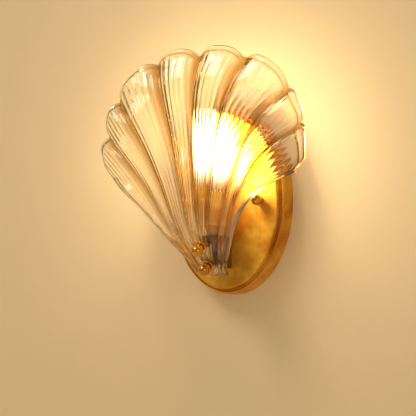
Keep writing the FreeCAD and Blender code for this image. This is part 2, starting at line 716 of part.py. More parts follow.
# ---------------------------------------------------------------- bulb
def candle(name, grow):
    """The candle bulb's outline as a solid, larger or smaller by an offset."""
    radius = dim("bulb_radius") + grow
    neck = dim("cap_radius") + grow
    length = dim("bulb_length")
    low = bulb_floor() - grow
    top = bulb_floor() + length + grow
    widest = bulb_floor() + 0.42 * length

    def spot(across, height):
        return at(across, dim("lamp_depth"), height)

    belly = Part.BSplineCurve()
    belly.interpolate([spot(neck, low), spot(neck + 0.45 * (radius - neck), low + 0.13 * length),
                       spot(radius, widest), spot(0.72 * radius, low + 0.72 * length),
                       spot(0.30 * radius, top - 0.07 * length), spot(0, top)])
    axis = Part.makeLine(spot(0, top), spot(0, low))
    foot = Part.makeLine(spot(0, low), spot(neck, low))
    face = Part.Face(Part.Wire([belly.toShape(), axis, foot]))
    return face.revolve(at(0, dim("lamp_depth"), 0), UP, 360)


def core_top():
    return dim("arm_top") + dim("bridge_sheet") + dim("holder_wall") + dim("core_height")


def cap_floor():
    return core_top() + dim("tip_height") + 1 + dim("cap_clearance")


def bulb_floor():
    return cap_floor() + dim("cap_length")


def make_bulb():
    finish(cut("cap_body",
               upright("cap_outside", "{cap_radius}", "{cap_length}", CAP_FLOOR),
               upright("cap_inside", "{cap_radius} - 0.6", "{cap_length}",
                       CAP_FLOOR + " + 2.5")), "bulb_cap")
    finish(upright("tip_body", "{tip_radius}", "{tip_height}", CAP_FLOOR + " - {tip_height}"),
           "bulb_tip")
    glass = candle("envelope", 0.0).cut(candle("envelope_inside", -dim("bulb_glass")))
    mouth = Part.makeCylinder(dim("stem_radius") + 1.5, 4, at(0, dim("lamp_depth"),
                                                             bulb_floor() - 2), UP)
    finish(feature("envelope_body", glass.cut(mouth)), "bulb_glass")
    finish(fuse("stem_body",
                upright("stem_flare", "{stem_radius} + 1.4", "2",
                        CAP_FLOOR + " + {cap_length} - 1.5"),
                upright("stem_rod", "{stem_radius}", "{stem_length}",
                        CAP_FLOOR + " + {cap_length}")), "bulb_stem")
    strips = []
    for i in range(4):
        angle = math.radians(45 + 90 * i)
        strip = doc.addObject("Part::Cylinder", "strip_%d" % i)
        bind(strip, "Radius", "{filament_radius}")
        bind(strip, "Height", "{filament_length}")
        place(strip, UPRIGHT,
              "{filament_ring} * %.6f" % math.cos(angle),
              "{lamp_depth} + {filament_ring} * %.6f" % math.sin(angle),
              CAP_FLOOR + " + {cap_length} + {stem_length} - 1")
        strips.append(strip)
    finish(group("strip_group", *strips), "filament_strips")
    spider_floor = CAP_FLOOR + " + {cap_length} + {stem_length}"
    arms = [upright("spider_disc", "{filament_ring} - {filament_radius} - 0.05", "0.8",
                    spider_floor)]
    finish(arms[0], "filament_carrier")


# ---------------------------------------------------------------- supply side
def tube(points, radius, bend):
    """A wire through corner points, each corner an arc of one radius."""
    edges = []
    start = points[0]
    for before, corner, after in zip(points, points[1:], points[2:]):
        into = (corner - before).normalize()
        away = (after - corner).normalize()
        half_turn = into.getAngle(away) / 2
        trim = bend * math.tan(half_turn)
        first = corner - into * trim
        last = corner + away * trim
        towards = (away - into).normalize()
        middle = corner + towards * (bend / math.cos(half_turn) - bend)
        edges.append(Part.makeLine(start, first))
        edges.append(Part.Arc(first, middle, last).toShape())
        start = last
    edges.append(Part.makeLine(start, points[-1]))
    path = Part.Wire(edges)
    section = Part.Wire(Part.makeCircle(radius, points[0], (points[1] - points[0]).normalize()))
    return path.makePipeShell([section], True, False)


def make_supply():
    block_face = "{canopy_depth} - {canopy_sheet}"
    body = block("terminal_body", ("{block_width}", "{block_depth}", "{block_height}"), "0",
                 block_face, "{block_top} - {block_height}")
    terminals = []
    for i, step in enumerate((-1, 0, 1)):
        terminals.append(cylinder("terminal_%d" % i, "{terminal_radius}", "3",
                                  "%d * {terminal_pitch}" % step,
                                  block_face + " - {block_depth}",
                                  "{block_top} - {block_height} / 2"))
    wells = []
    for i, step in enumerate((-1, 0, 1)):
        wells.append(cylinder("terminal_well_%d" % i, "{terminal_radius}", "3",
                              "%d * {terminal_pitch}" % step,
                              block_face + " - {block_depth}",
                              "{block_top} - {block_height} / 2"))
    finish(cut("terminal_block_body", body, *wells), "terminal_block")
    finish(group("terminal_group", *terminals), "terminal_screws")

    drop = dim("wire_drop_depth")
    for name, side in (("live_wire", 1), ("neutral_wire", -1)):
        across = side * dim("wire_spread")
        route = [at(across, drop, dim("block_top") - dim("block_height")),
                 at(across, drop, dim("wire_height")),
                 at(across, dim("lamp_depth"), dim("wire_height")),
                 at(across, dim("lamp_depth"), core_top() - dim("core_height") + 2)]
        finish(feature(name + "_body", tube(route, dim("wire_radius"), dim("wire_bend"))), name)

    # the earth wire loops from the crossbar's screw to the upper arm screw
    tag_out = dim("bar_sheet") + dim("wire_radius")
    earth_route = [at(dim("earth_offset"), tag_out, -dim("screw_head_radius")),
                   at(dim("earth_offset"), tag_out, dim("arm_screw_high")),
                   at(dim("screw_head_radius") + 1.6, tag_out + 9, dim("arm_screw_high"))]
    earth_route.append(at(dim("screw_head_radius") + 1.6,
                          dim("canopy_depth") - dim("canopy_sheet"), dim("arm_screw_high")))
    finish(feature("earth_wire_body", tube(earth_route, dim("wire_radius"), 4.0)), "earth_wire")

    flange_out = "{canopy_depth} - {canopy_sheet} - {bush_sheet}"
    blank = fuse("bush_blank",
                 cylinder("bush_flange", "{wire_hole_radius} + {bush_rim}", "{bush_sheet}", "0",
                          flange_out, "{wire_height}"),
                 cylinder("bush_neck", "{wire_hole_radius}",
                          "{bush_sheet} + {canopy_sheet} + {arm_sheet}", "0", flange_out,
                          "{wire_height}"))
    bush = cut("bush_body", blank,
               cylinder("bush_hole", "{wire_spread} + {wire_radius}", "20", "0",
                        flange_out + " - 1", "{wire_height}"))
    finish(bush, "wire_bush")


make_canopy()
make_crossbar()
make_canopy_nuts()
make_shade()
make_clamps()
make_arm()
make_lampholder()
make_bulb()
make_supply()
doc.recompute()

# ---------------------------------------------------------------- checks and export
for obj in doc.Objects:
    if "Invalid" in obj.State or "Error" in obj.State:
        raise RuntimeError("failed object: %s %s" % (obj.Name, obj.State))
for obj in SUB_PARTS:
    shape = obj.Shape
    if shape.isNull() or not shape.isValid() or not shape.Solids:
        raise RuntimeError("bad shape: " + obj.Label)

os.makedirs("parts", exist_ok=True)
for obj in SUB_PARTS:
    obj.Shape.exportStep("parts/%s.step" % obj.Label)
    box = obj.Shape.BoundBox
    print("%-18s solids %d  volume %9.1f  x %.1f..%.1f  y %.1f..%.1f  z %.1f..%.1f" % (
        obj.Label, len(obj.Shape.Solids), obj.Shape.Volume,
        box.XMin, box.XMax, box.YMin, box.YMax, box.ZMin, box.ZMax))
print(len(SUB_PARTS), "sub-parts")
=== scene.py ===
# %% [markdown]
# # Shell wall sconce
# A wall lamp with a shade of pressed glass in the shape of a scallop shell, clamped at its foot to
# a brass arm on an oval brass canopy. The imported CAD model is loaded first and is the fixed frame:
# every piece made here is in metres and sits where a CAD piece sits. Some CAD pieces stay and only
# get a better finish, and the ones with fine detail, such as the glass, are made again as meshes.

# %% load the frame
import math
import bmesh
import bpy
import numpy as np
from mathutils import Matrix, Vector


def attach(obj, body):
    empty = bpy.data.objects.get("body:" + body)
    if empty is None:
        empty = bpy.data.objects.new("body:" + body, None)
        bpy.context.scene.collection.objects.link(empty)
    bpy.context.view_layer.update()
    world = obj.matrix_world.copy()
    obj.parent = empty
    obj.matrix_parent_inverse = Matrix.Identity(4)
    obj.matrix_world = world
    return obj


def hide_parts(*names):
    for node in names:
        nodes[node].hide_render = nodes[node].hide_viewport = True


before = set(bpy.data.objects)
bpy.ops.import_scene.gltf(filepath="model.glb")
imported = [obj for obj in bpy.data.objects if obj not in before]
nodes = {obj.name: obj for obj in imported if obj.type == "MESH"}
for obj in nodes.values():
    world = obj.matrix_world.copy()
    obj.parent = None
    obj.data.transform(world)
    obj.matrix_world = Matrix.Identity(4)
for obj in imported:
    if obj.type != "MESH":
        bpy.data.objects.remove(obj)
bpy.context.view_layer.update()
scene = bpy.context.scene
MM = 0.001

# %% [markdown]
# ## Camera
# The lamp is seen from the right and a little from below. The distance and the lens are kept as
# named numbers, so the perspective can be set once, and the camera slides sideways in its own
# plane instead of using a lens shift, because a shift would follow it into every other view.

# %% camera
AZIMUTH = math.radians(30.0)
ELEVATION = math.radians(-3.0)
CAMERA_DISTANCE = 1.2
LENS = 118.8
SENSOR = 36.0
SLIDE_RIGHT = -0.0244
SLIDE_UP = -0.0049

back = Vector((math.sin(AZIMUTH) * math.cos(ELEVATION),
               -math.cos(AZIMUTH) * math.cos(ELEVATION),
               math.sin(ELEVATION)))
right = Vector((math.cos(AZIMUTH), math.sin(AZIMUTH), 0.0))
up = back.cross(right)
camera_data = bpy.data.cameras.new("camera")
camera_data.lens = LENS
camera_data.sensor_width = SENSOR
camera = bpy.data.objects.new("camera", camera_data)
scene.collection.objects.link(camera)
camera.location = back * CAMERA_DISTANCE + right * SLIDE_RIGHT + up * SLIDE_UP
camera.rotation_mode = "QUATERNION"
camera.rotation_quaternion = Matrix((right, up, back)).transposed().to_quaternion()
scene.camera = camera
scene.view_settings.view_transform = "Standard"
print("camera at", [round(v, 3) for v in camera.location])

# %% [markdown]
# ## Numbers inside a material
# A finish is a small network of nodes. This class wraps a number that runs between nodes, so that
# adding and multiplying can be written as plain arithmetic, and each sum makes its own Math node.
# The same could be wired by hand in the Shader Editor, but a recipe in a line is easier to read.


# %% wire
class Wire:
    """A number running through a material, with plain arithmetic."""

    def __init__(self, finish, socket):
        self.finish = finish
        self.socket = socket

    def maths(self, operation, other):
        return self.finish.node("ShaderNodeMath", {"operation": operation}, {0: self, 1: other})

    def __add__(self, other):
        return self.maths("ADD", other)

    def __mul__(self, other):
        return self.maths("MULTIPLY", other)

    __radd__ = __add__
    __rmul__ = __mul__


print("wires ready")

# %% [markdown]
# ## Shader helper
# One method makes any node: its kind, its settings, what goes into its sockets, and which output
# is wanted. The other methods are the few nodes that nearly every finish needs: noise that is
# fixed to the piece, a smooth span from one range to another, a mix of two colours, and a bump.

# %% shader helper
MIX_FIRST = 6
MIX_SECOND = 7
MIX_RESULT = 2


class Finish:
    """A material: node() makes a node, fills its sockets and returns one of its outputs."""

    def __init__(self, name, **constants):
        self.material = bpy.data.materials.new(name)
        self.material.use_nodes = True
        self.tree = self.material.node_tree
        self.shader = self.tree.nodes["Principled BSDF"]
        self.output = self.tree.nodes["Material Output"]
        for socket, value in constants.items():
            self.shader.inputs[socket.replace("_", " ")].default_value = value

    def fill(self, socket, value):
        if isinstance(value, Wire):
            self.tree.links.new(value.socket, socket)
        else:
            socket.default_value = value

    def node(self, kind, settings=None, inputs=None, output=0):
        made = self.tree.nodes.new(kind)
        for setting, value in (settings or {}).items():
            setattr(made, setting, value)
        for socket, value in (inputs or {}).items():
            self.fill(made.inputs[socket], value)
        return Wire(self, made.outputs[output])

    def feed(self, **inputs):
        for socket, value in inputs.items():
            self.fill(self.shader.inputs[socket.replace("_", " ")], value)

    def place(self, stretch=(1.0, 1.0, 1.0)):
        """The object's own coordinates, scaled along each axis."""
        spot = self.node("ShaderNodeTexCoord", output="Object")
        return self.node("ShaderNodeMapping", {}, {"Vector": spot, "Scale": stretch})

    def noise(self, scale, stretch=(1.0, 1.0, 1.0), detail=3.0):
        return self.node("ShaderNodeTexNoise", {},
                         {"Vector": self.place(stretch), "Scale": scale, "Detail": detail,
                          "Roughness": 0.55})

    def span(self, value, low, high, to_low=0.0, to_high=1.0):
        """The value between low and high, mapped smoothly to another range."""
        return self.node("ShaderNodeMapRange", {"interpolation_type": "SMOOTHSTEP"},
                         {"Value": value, "From Min": low, "From Max": high,
                          "To Min": to_low, "To Max": to_high})

    def mix(self, share, first, second):
        """A colour between two colours."""
        return self.node("ShaderNodeMix", {"data_type": "RGBA"},
                         {"Factor": share, MIX_FIRST: first, MIX_SECOND: second}, MIX_RESULT)

    def bump(self, height, distance):
        return self.node("ShaderNodeBump", {},
                         {"Height": height, "Distance": distance, "Strength": 1.0})


def rgb(red, green, blue):
    """A screen colour of 0 to 255 as the linear colour that shaders use."""
    parts = [part / 255.0 for part in (red, green, blue)]
    return tuple([part / 12.92 if part <= 0.04045 else ((part + 0.055) / 1.055) ** 2.4
                  for part in parts] + [1.0])


print("shader helper ready")

# %% [markdown]
# ## Brass
# The canopy is satin brass under a thin clear lacquer, and the ball nuts are polished. The arm and
# the holder bridge take a darker copy of the same brass: painted shade, for the shade they sit in
# behind the glass. Real brass is never one even colour: it has fine drawn lines, a slow cloud of
# tarnish, and specks. Each is a noise at its own scale, the lines stretched along one axis. The
# gloss comes from the roughness and the lights, so it moves correctly when the view changes.

# %% brass
def brass(name, light, deep, roughness, stretch, line_depth):
    """Brass with brushed lines along the stretched axis and faint tarnish."""
    finish = Finish(name, Metallic=1.0, Coat_Weight=0.2, Coat_Roughness=0.25)
    lines = finish.noise(1500.0, stretch, 2.0)
    cloud = finish.noise(38.0, detail=4.0)
    specks = finish.noise(420.0, detail=2.0)
    tone = finish.span(cloud * 0.85 + lines * 0.15, 0.35, 0.68)
    rough = finish.span(lines * 0.6 + specks * 0.4, 0.3, 0.7, roughness * 0.82,
                        roughness * 1.2)
    finish.feed(Base_Color=finish.mix(tone, deep, light), Roughness=rough,
                Normal=finish.bump(lines * 0.8 + specks * 0.2, line_depth))
    return finish.material


ALONG_HEIGHT = (1.0, 1.0, 0.05)
TURNED = (1.0, 1.0, 0.4)
satin_brass = brass("satin_brass", rgb(250, 198, 80), rgb(206, 138, 36), 0.50,
                    ALONG_HEIGHT, 0.000004)
# A darker copy of the satin brass: painted shade for the arm and bridge behind the glass.
shaded_brass = brass("shaded_brass", rgb(128, 74, 18), rgb(88, 48, 10), 0.36,
                   ALONG_HEIGHT, 0.000004)
polished_brass = brass("polished_brass", rgb(228, 166, 58), rgb(194, 130, 38), 0.10,
                       TURNED, 0.000006)
print("three brass finishes made")

# %% [markdown]
# ## Pressed glass
# Clear glass pressed in a mould keeps slow ripples from the cooling metal. It looks amber where it
# is thick or seen along its edge. So the glass takes a little blue out of the light that runs
# through its volume. A line of amber is also painted along each valley, by an attribute that the
# shell's mesh carries: painted shade in the creases. A tint on the surface alone would look the
# same from every side, like paint.

# %% pressed glass
ABSORBED = (0.98, 0.84, 0.46, 1.0)
ABSORBED_DENSITY = 55.0
CLEAR = (1.0, 0.99, 0.96, 1.0)
# The amber painted along the valleys and the lip groove, as painted shade.
AMBER_SHADE = (0.50, 0.30, 0.08, 1.0)


def pressed_glass():
    """Clear pressed glass: it absorbs a little blue, so it turns amber where it is thick, and
    painted shade tints it amber along the valleys.
    """
    finish = Finish("clear_glass", Transmission_Weight=1.0, IOR=1.5)
    depth = finish.node("ShaderNodeVolumeAbsorption", {},
                        {"Color": ABSORBED, "Density": ABSORBED_DENSITY})
    finish.fill(finish.output.inputs["Volume"], depth)
    valley = finish.node("ShaderNodeAttribute", {"attribute_name": "valley"}, output="Fac")
    ripple = finish.noise(55.0, (1.0, 1.0, 0.5), 2.0)
    grain = finish.noise(600.0, (1.0, 1.0, 0.12), 2.0)
    # Painted shade: amber along the valleys, between the flutes and along the lip groove.
    shade_tint = finish.span(valley + ripple * 0.1, 0.05, 1.0)
    finish.feed(Base_Color=finish.mix(shade_tint, CLEAR, AMBER_SHADE),
                Roughness=finish.span(grain, 0.3, 0.7, 0.0, 0.03),
                Normal=finish.bump(ripple * 0.9 + grain * 0.1, 0.0003))
    return finish.material


clear_glass = pressed_glass()
print("pressed glass made")

# %% [markdown]
# ## Lit bulb
# A lit candle bulb is so bright that its glass seems to glow by itself. The envelope gives light
# of its own, warmer towards the tip and dark at the neck, where the cap hides the filament. The
# glass stem inside stays clear, and the filament strips are the brightest thing in the lamp.

# %% bulb glass
NECK_HEIGHT = 0.010
BODY_HEIGHT = 0.050
TIP_HEIGHT = 0.082


def glowing_glass():
    """The lit bulb's envelope: the whole candle glows, most in its lower half."""
    finish = Finish("bulb_envelope", Transmission_Weight=0.5, IOR=1.45, Emission_Strength=6.0)
    spot = finish.node("ShaderNodeTexCoord", output="Object")
    haze = finish.noise(70.0, (1.0, 1.0, 0.6), 2.0)
    height = finish.node("ShaderNodeSeparateXYZ", {}, {"Vector": spot}, "Z") + haze * 0.004
    tip = finish.span(height, BODY_HEIGHT, TIP_HEIGHT)
    neck = finish.span(height, BODY_HEIGHT, NECK_HEIGHT)
    glow = finish.mix(tip, (1.0, 0.93, 0.74, 1.0), (0.9, 0.46, 0.12, 1.0))
    clear = finish.mix(haze, (1.0, 0.96, 0.86, 1.0), (1.0, 0.92, 0.78, 1.0))
    finish.feed(Base_Color=finish.mix(neck, clear, (0.16, 0.07, 0.02, 1.0)),
                Emission_Color=finish.mix(neck, glow, (0.01, 0.004, 0.001, 1.0)),
                Roughness=finish.span(haze, 0.3, 0.7, 0.04, 0.12),
                Normal=finish.bump(haze, 0.0001))
    return finish.material


def stem_glass():
    """The clear glass stem that holds the filaments."""
    finish = Finish("clear_stem", Transmission_Weight=1.0, IOR=1.5)
    swirl = finish.noise(160.0, (1.0, 1.0, 0.3), 2.0)
    finish.feed(Base_Color=finish.mix(swirl, rgb(250, 247, 238), rgb(236, 228, 208)),
                Roughness=finish.span(swirl, 0.3, 0.7, 0.0, 0.08),
                Normal=finish.bump(swirl, 0.0002))
    return finish.material


bulb_envelope = glowing_glass()
clear_stem = stem_glass()
print("bulb glass made")


# %% filaments
def lit_strips():
    """Filament strips: a row of small lit dots under a warm coating."""
    finish = Finish("lit_filament", Emission_Strength=30.0)
    dots = finish.noise(1400.0, detail=1.0)
    finish.feed(Base_Color=finish.mix(dots, rgb(250, 196, 90), rgb(255, 226, 150)),
                Emission_Color=finish.mix(dots, (1.0, 0.72, 0.3, 1.0), (1.0, 0.86, 0.5, 1.0)),
                Roughness=finish.span(dots, 0.3, 0.7, 0.4, 0.6),
                Normal=finish.bump(dots, 0.00005))
    return finish.material


lit_filament = lit_strips()
print("filament finish made")

# %% [markdown]
# ## Plastic, rubber and plated metal
# The small parts share two recipes. Moulded plastic and rubber have a fine grain from the mould
# and a slow drift in colour. Plated metal has faint mottling and drawing lines. One function for
# each kind keeps them alike, and only the colours, the gloss and the scale differ.


# %% moulded parts
def moulded(name, light, deep, roughness, scale, depth, coat=0.0):
    """Plastic or rubber with a fine moulding grain and a slow drift in colour."""
    finish = Finish(name, Coat_Weight=coat, Coat_Roughness=0.1)
    grain = finish.noise(scale)
    drift = finish.noise(scale * 0.06, detail=2.0)
    tone = finish.span(drift * 0.7 + grain * 0.3, 0.35, 0.65)
    finish.feed(Base_Color=finish.mix(tone, deep, light),
                Roughness=finish.span(grain, 0.3, 0.7, roughness * 0.85, roughness * 1.15),
                Normal=finish.bump(grain, depth))
    return finish.material


black_rubber = moulded("black_rubber", rgb(66, 50, 34), rgb(46, 34, 24), 0.7, 1800.0, 0.00003)
white_insulator = moulded("white_insulator", rgb(236, 230, 214), rgb(222, 212, 190), 0.5,
                          1200.0, 0.00002, 0.2)
brown_sleeving = moulded("brown_sleeving", rgb(112, 66, 38), rgb(92, 50, 28), 0.42, 1500.0,
                         0.00002, 0.3)
blue_sleeving = moulded("blue_sleeving", rgb(58, 104, 176), rgb(44, 84, 152), 0.42, 1500.0,
                        0.00002, 0.3)
terminal_plastic = moulded("terminal_plastic", rgb(240, 238, 230), rgb(226, 222, 210), 0.45,
                           1100.0, 0.00002, 0.1)
print("five moulded finishes made")


# %% plated parts
def plated(name, light, deep, roughness, scale):
    """Plated metal with faint mottling."""
    finish = Finish(name, Metallic=1.0)
    mottle = finish.noise(scale, detail=4.0)
    drawn = finish.noise(scale * 6.0, (1.0, 1.0, 0.08), 2.0)
    rough = finish.span(mottle * 0.6 + drawn * 0.4, 0.3, 0.7, roughness * 0.7, roughness * 1.3)
    finish.feed(Base_Color=finish.mix(finish.span(mottle, 0.35, 0.65), deep, light),
                Roughness=rough, Normal=finish.bump(drawn, 0.00001))
    return finish.material


zinc_steel = plated("zinc_steel", rgb(206, 206, 202), rgb(176, 178, 178), 0.3, 260.0)
nickel_cap = plated("nickel_cap", rgb(222, 218, 206), rgb(196, 190, 176), 0.2, 300.0)
print("two plated finishes made")

# %% [markdown]
# ## Earth wire
# An earth wire is green with a yellow stripe. The stripe is a band pattern that is cut hard at
# one level, so the two colours stay apart as they do in the moulded sleeving.


# %% striped sleeving
def striped_sleeving():
    """Green wire sleeving with yellow stripes."""
    finish = Finish("green_yellow_sleeving", Coat_Weight=0.3, Coat_Roughness=0.15)
    bands = finish.node("ShaderNodeTexWave", {"wave_type": "BANDS", "bands_direction": "Z"},
                        {"Vector": finish.place(), "Scale": 160.0, "Distortion": 0.6,
                         "Detail": 1.0}, "Fac")
    grain = finish.noise(1500.0)
    finish.feed(Base_Color=finish.mix(finish.span(bands, 0.48, 0.54), rgb(66, 130, 52),
                                      rgb(226, 196, 54)),
                Roughness=finish.span(grain, 0.3, 0.7, 0.36, 0.5),
                Normal=finish.bump(grain, 0.00002))
    return finish.material


green_yellow_sleeving = striped_sleeving()
print("striped sleeving made")

# %% [markdown]
# ## Making pieces
# Round pieces are a half outline spun about an axis, as a lathe turns them. A mesh is built
# at the origin, moved into place in its own vertices, and then rides on the CAD body that
# carries it, so it follows every joint. Doubles are merged first and the normals are worked out
# after that, because a spin can leave a seam and can turn a shape inside out.

# %% piece helpers
LATHE_STEPS = 72
MERGE = 1e-7


def piece(name, mesh, finish, body, slot, *replaced):
    """Turns a finished bmesh into an object that rides on a body and stands for CAD nodes."""
    bmesh.ops.remove_doubles(mesh, verts=mesh.verts, dist=MERGE)
    bmesh.ops.recalc_face_normals(mesh, faces=mesh.faces)
    data = bpy.data.meshes.new(name)
    mesh.to_mesh(data)
    mesh.free()
    data.materials.append(finish)
    data.shade_smooth()
    made = bpy.data.objects.new(name, data)
    scene.collection.objects.link(made)
    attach(made, body)
    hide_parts(*replaced)
    print(name, len(data.polygons), "faces")
    return made


def spin(mesh, outline, close=False):
    """Spins an outline of (radius, height) in mm about Z and returns the new vertices."""
    before = set(mesh.verts)
    points = [mesh.verts.new((radius * MM, 0.0, height * MM)) for radius, height in outline]
    pairs = list(zip(points, points[1:]))
    if close:
        pairs.append((points[-1], points[0]))
    edges = [mesh.edges.new(pair) for pair in pairs]
    bmesh.ops.spin(mesh, geom=points + edges, cent=(0, 0, 0), axis=(0, 0, 1), dvec=(0, 0, 0),
                   angle=math.tau, steps=LATHE_STEPS, use_merge=True, use_duplicate=False)
    return [vertex for vertex in mesh.verts if vertex not in before]


def stand(mesh, turned, origin, direction):
    """Moves vertices built on the origin along +Z to stand on a point along a direction."""
    turn = Vector(direction).to_track_quat("Z", "Y").to_matrix().to_4x4()
    bmesh.ops.transform(mesh, matrix=Matrix.Translation(origin) @ turn, verts=turned)


def arc(centre, radius, start, end, count):
    """Points of an arc in the (radius, height) half plane, angles in degrees."""
    angles = [math.radians(start + (end - start) * i / (count - 1)) for i in range(count)]
    return [(centre[0] + radius * math.cos(a), centre[1] + radius * math.sin(a))
            for a in angles]


print("piece helpers ready")

# %% [markdown]
# ## Path of the shell
# Seen from the side, the middle of the shell curls out of its tail, runs flat where the nuts clamp
# it, bends upright and rises to the rim. It is a chain of legs, each with a length and a heading
# that turns evenly from its start to its end, and adding up small steps gives the path. It runs on
# a little past the rim, so that the rim can be cut out of it. A drawn curve would do too, but a
# length along the glass is what the lobes, the clamps and the rim are measured by.

# %% path of the shell
LEGS = ((21.0, -22.4, 56.7), (24.0, 56.7, 56.7), (30.0, 56.7, 86.0), (128.0, 86.0, 100.0))
TAIL_OUT = 28.3
TAIL_HEIGHT = -62.8
RUN_ON = 40.0
PATH_POINTS = 4862
SHELL_LENGTH = sum(length for length, start, end in LEGS)

walk = np.linspace(0.0, SHELL_LENGTH + RUN_ON, PATH_POINTS)
leg_ends = np.cumsum([0.0] + [length for length, start, end in LEGS])
heading = np.interp(walk, leg_ends, [LEGS[0][1]] + [end for length, start, end in LEGS])
rim_turn = (LEGS[-1][2] - LEGS[-1][1]) / LEGS[-1][0]
past_rim = walk > SHELL_LENGTH
heading[past_rim] = LEGS[-1][2] + rim_turn * (walk[past_rim] - SHELL_LENGTH)
heading = np.radians(heading)
between = (heading[1:] + heading[:-1]) / 2
step = walk[1] - walk[0]
path_out = TAIL_OUT + np.concatenate([[0.0], np.cumsum(np.cos(between) * step)])
path_height = TAIL_HEIGHT + np.concatenate([[0.0], np.cumsum(np.sin(between) * step)])
print("path of the shell:", SHELL_LENGTH, "mm long")

# %% [markdown]
# ## Lobes of the shell
# Eight lobes fan out from the tail, with a valley between each two. Nine valleys spread sideways by
# a share of the way along the shell, draw in at a waist, and end at a notch of the rim. Away from
# the middle they swell out below the rim and then lie back towards the wall. Between two valleys a
# lobe stands out with a flat top and steep flanks, flatter at the tail than at the rim. One half
# of the shell is written down and the other is its mirror image.

# %% lobes of the shell
HALF_SPREAD = np.array([0.0, 0.215, 0.513, 0.733, 1.008])
HALF_ENDS = np.array([203.0, 198.0, 172.0, 141.0, 103.0])
HALF_NOTCHES = ((0.0, 119.0), (41.6, 115.5), (81.7, 87.5), (93.0, 59.0), (87.2, 21.0))
SPREAD = np.concatenate([-HALF_SPREAD[:0:-1], HALF_SPREAD])
COLUMN_ENDS = np.concatenate([HALF_ENDS[:0:-1], HALF_ENDS])
NOTCHES = [(-x, z) for x, z in HALF_NOTCHES[:0:-1]] + list(HALF_NOTCHES)
LOBES = len(SPREAD) - 1
TAIL_HALF_WIDTH = 12.0
FLARE = 0.25
WAIST = 0.2
WAIST_SKEW = 1.6
SWELL_MIDDLE = 7.0
SWELL_SIDE = 13.0
SWELL_SKEW = 4.0
SIDE_SWEEP = 10.0
LOBE_DEPTH = 8.5
TAIL_BULGE = 0.3
SQUARENESS = 3


def valley_across(length, index):
    """Sideways place of a valley so far along the shell."""
    spread = SPREAD[index]
    flared = length * (length / SHELL_LENGTH) ** FLARE
    part = np.clip(length / COLUMN_ENDS[index], 0.0, 1.0)
    waist = 1.0 - WAIST * np.sin(math.pi * part ** WAIST_SKEW)
    return (np.sign(spread) * waist
            * np.hypot(TAIL_HALF_WIDTH * spread / SPREAD[-1], spread * flared))


def valley_lift(length, index):
    """How far a valley stands out from the middle line's path: swelling less the side sweep."""
    part = np.clip(length / COLUMN_ENDS[index], 0.0, 1.0)
    side = np.abs(SPREAD[index] / SPREAD[-1])
    swell = (SWELL_MIDDLE + (SWELL_SIDE - SWELL_MIDDLE) * side) * np.sin(
        math.pi * part ** SWELL_SKEW)
    return swell - SIDE_SWEEP * (valley_across(length, index) / NOTCHES[-1][0]) ** 2


def bulge_at(length):
    """How far a lobe stands out from its valleys so far along the shell."""
    return TAIL_BULGE + (LOBE_DEPTH - TAIL_BULGE) * length / SHELL_LENGTH


def flat_topped(share):
    """0 at both ends of a share from 0 to 1, and 1 over most of the middle."""
    return 1.0 - np.abs(2.0 * share - 1.0) ** SQUARENESS


def shell_point(length, lobe, share, drop):
    """Points of the shell's surface in mm: (across, out, height), lowered by a drop."""
    first = valley_across(length, lobe)
    second = valley_across(length, lobe + 1)
    lift = (bulge_at(length) * flat_topped(share) + valley_lift(length, lobe) * (1.0 - share)
            + valley_lift(length, lobe + 1) * share - drop)
    lean = np.interp(length, walk, heading)
    across = first * (1.0 - share) + second * share
    out = np.interp(length, walk, path_out) + np.sin(lean) * lift
    height = np.interp(length, walk, path_height) - np.cos(lean) * lift
    return across, out, height


print("shell formula ready:", LOBES, "lobes")

# %% [markdown]
# ## Rim of the shell
# Seen from the front, each lobe ends in a scallop between two notches. The outline is kept as a
# reach for every angle about the tail, and each column of the glass is made as long as the place
# where it crosses that outline. Halving the guess again and again finds the place in a few lines,
# and cutting the mesh with the outline instead would leave ragged faces at the rim.

# %% rim of the shell
SCALLOP_RISE = 9.0
MIDDLE_CHORD = NOTCHES[LOBES // 2 + 1][0]
RIM_POINTS = 60
SHORTEST = 60.0
LONGEST = SHELL_LENGTH + 35.0
HALVINGS = 40


def rim_curve():
    """The scalloped outline from the front, as angle and reach about the tail."""
    angles, reaches = [], []
    for (x0, z0), (x1, z1) in zip(NOTCHES, NOTCHES[1:]):
        share = np.linspace(0.0, 1.0, RIM_POINTS)
        chord = math.hypot(x1 - x0, z1 - z0)
        rise = SCALLOP_RISE * chord / MIDDLE_CHORD * flat_topped(share)
        x = x0 + (x1 - x0) * share + (z0 - z1) / chord * rise
        z = z0 + (z1 - z0) * share + (x1 - x0) / chord * rise
        angles.append(np.arctan2(x, z - TAIL_HEIGHT))
        reaches.append(np.hypot(x, z - TAIL_HEIGHT))
    return np.concatenate(angles), np.concatenate(reaches)


rim_angle, rim_reach = rim_curve()


def rim_length(lobe, share, drop):
    """How long each column is where the outline cuts it, found by halving."""
    low = np.full(lobe.shape, SHORTEST)
    high = np.full(lobe.shape, LONGEST)
    for _ in range(HALVINGS):
        half = (low + high) / 2
        x, out, z = shell_point(half, lobe, share, drop)
        inside = (np.hypot(x, z - TAIL_HEIGHT)
                  < np.interp(np.arctan2(x, z - TAIL_HEIGHT), rim_angle, rim_reach))
        low = np.where(inside, half, low)
        high = np.where(inside, high, half)
    return low


print("rim reaches", round(float(rim_reach.max()), 1), "mm from the tail")

# %% [markdown]
# ## Rows and columns of the glass
# The glass will be a grid whose columns run from tail to rim. Each lobe has seven flutes: round
# crests with sharp valleys. Rows are close together where the tail and the rim round over and
# evenly spread between, so the mesh is only fine where the shape needs it.

